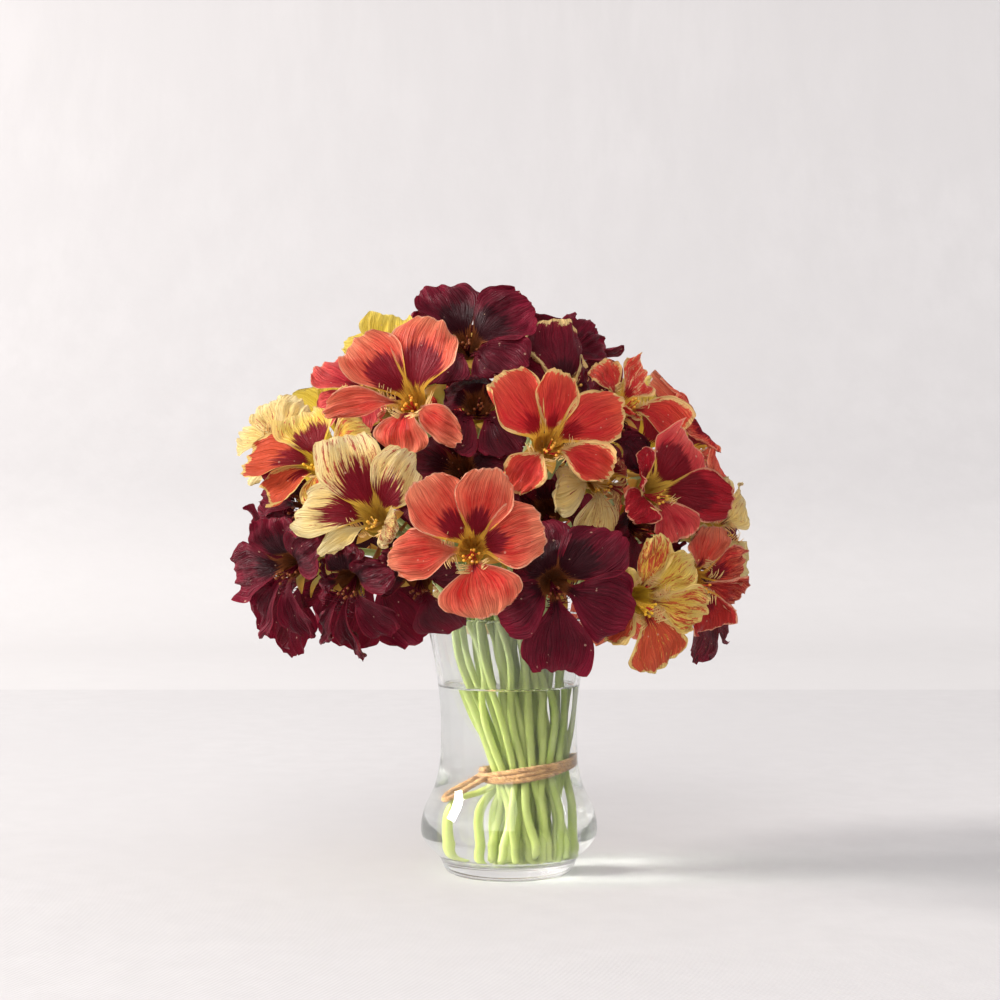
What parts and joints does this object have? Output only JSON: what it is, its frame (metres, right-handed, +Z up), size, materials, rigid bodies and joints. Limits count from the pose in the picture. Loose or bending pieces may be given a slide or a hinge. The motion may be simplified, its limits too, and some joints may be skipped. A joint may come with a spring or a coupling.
{
  "type": "nasturtium bouquet in a glass vase",
  "caption": "Hand-tied bouquet of cut nasturtium blooms, bound with jute twine and standing in water in a small waisted clear glass.",
  "frame": {"origin": "centre of the glass's foot, on the surface it stands on", "axes": "+Z up along the glass's axis, -Y towards the bouquet's front, +X to its right seen from the front"},
  "size_m": [0.1919, 0.1812, 0.2163],
  "materials": {
    "petals_coral": "soft, thin petal with fine radiating veins",
    "petals_cream": "soft, thin petal with fine radiating veins",
    "petals_coral_edged": "soft, thin petal with fine radiating veins",
    "petals_maroon": "soft, thin petal with fine radiating veins",
    "petals_flame": "soft, thin petal with fine radiating veins",
    "petals_coral_red": "soft, thin petal with fine radiating veins",
    "petals_maroon_edged": "soft, thin petal with fine radiating veins",
    "petals_yellow": "soft, thin petal with fine radiating veins",
    "stems": "moist, softly glossy plant skin",
    "twine": "twisted jute, dull and hairy",
    "water": "clear still water",
    "glass": "clear polished glass with a faint green cast"
  },
  "bodies": {
    "root": {"bloom_01_coral": "petals_coral", "bloom_02_cream": "petals_cream", "bloom_03_coral_edged": "petals_coral_edged", "bloom_04_coral": "petals_coral", "bloom_05_maroon": "petals_maroon", "bloom_06_flame": "petals_flame", "bloom_07_coral_red": "petals_coral_red", "bloom_08_flame": "petals_flame", "bloom_09_maroon": "petals_maroon", "bloom_10_maroon": "petals_maroon", "bloom_11_coral_edged": "petals_coral_edged", "bloom_12_coral": "petals_coral", "bloom_13_cream": "petals_cream", "bloom_14_maroon": "petals_maroon", "bloom_15_maroon": "petals_maroon", "bloom_16_coral_red": "petals_coral_red", "bloom_17_cream": "petals_cream", "bloom_18_maroon_edged": "petals_maroon_edged", "bloom_19_yellow": "petals_yellow", "bloom_20_maroon": "petals_maroon", "bloom_21_maroon": "petals_maroon", "bloom_22_coral": "petals_coral", "bloom_23_cream": "petals_cream", "bloom_24_maroon": "petals_maroon", "bloom_25_maroon": "petals_maroon", "bloom_26_coral": "petals_coral", "bloom_27_flame": "petals_flame", "bloom_28_maroon": "petals_maroon", "bloom_29_coral": "petals_coral", "bloom_30_yellow": "petals_yellow", "bloom_31_maroon": "petals_maroon", "bloom_32_maroon": "petals_maroon", "bloom_33_cream": "petals_cream", "bloom_34_maroon": "petals_maroon", "bloom_35_maroon": "petals_maroon", "bloom_36_maroon": "petals_maroon", "bloom_37_maroon": "petals_maroon", "bloom_38_maroon": "petals_maroon", "bloom_39_maroon": "petals_maroon", "bloom_40_maroon": "petals_maroon", "stems": "stems", "twine": "twine", "water": "water", "glass": "glass"}
  },
  "joints": []
}
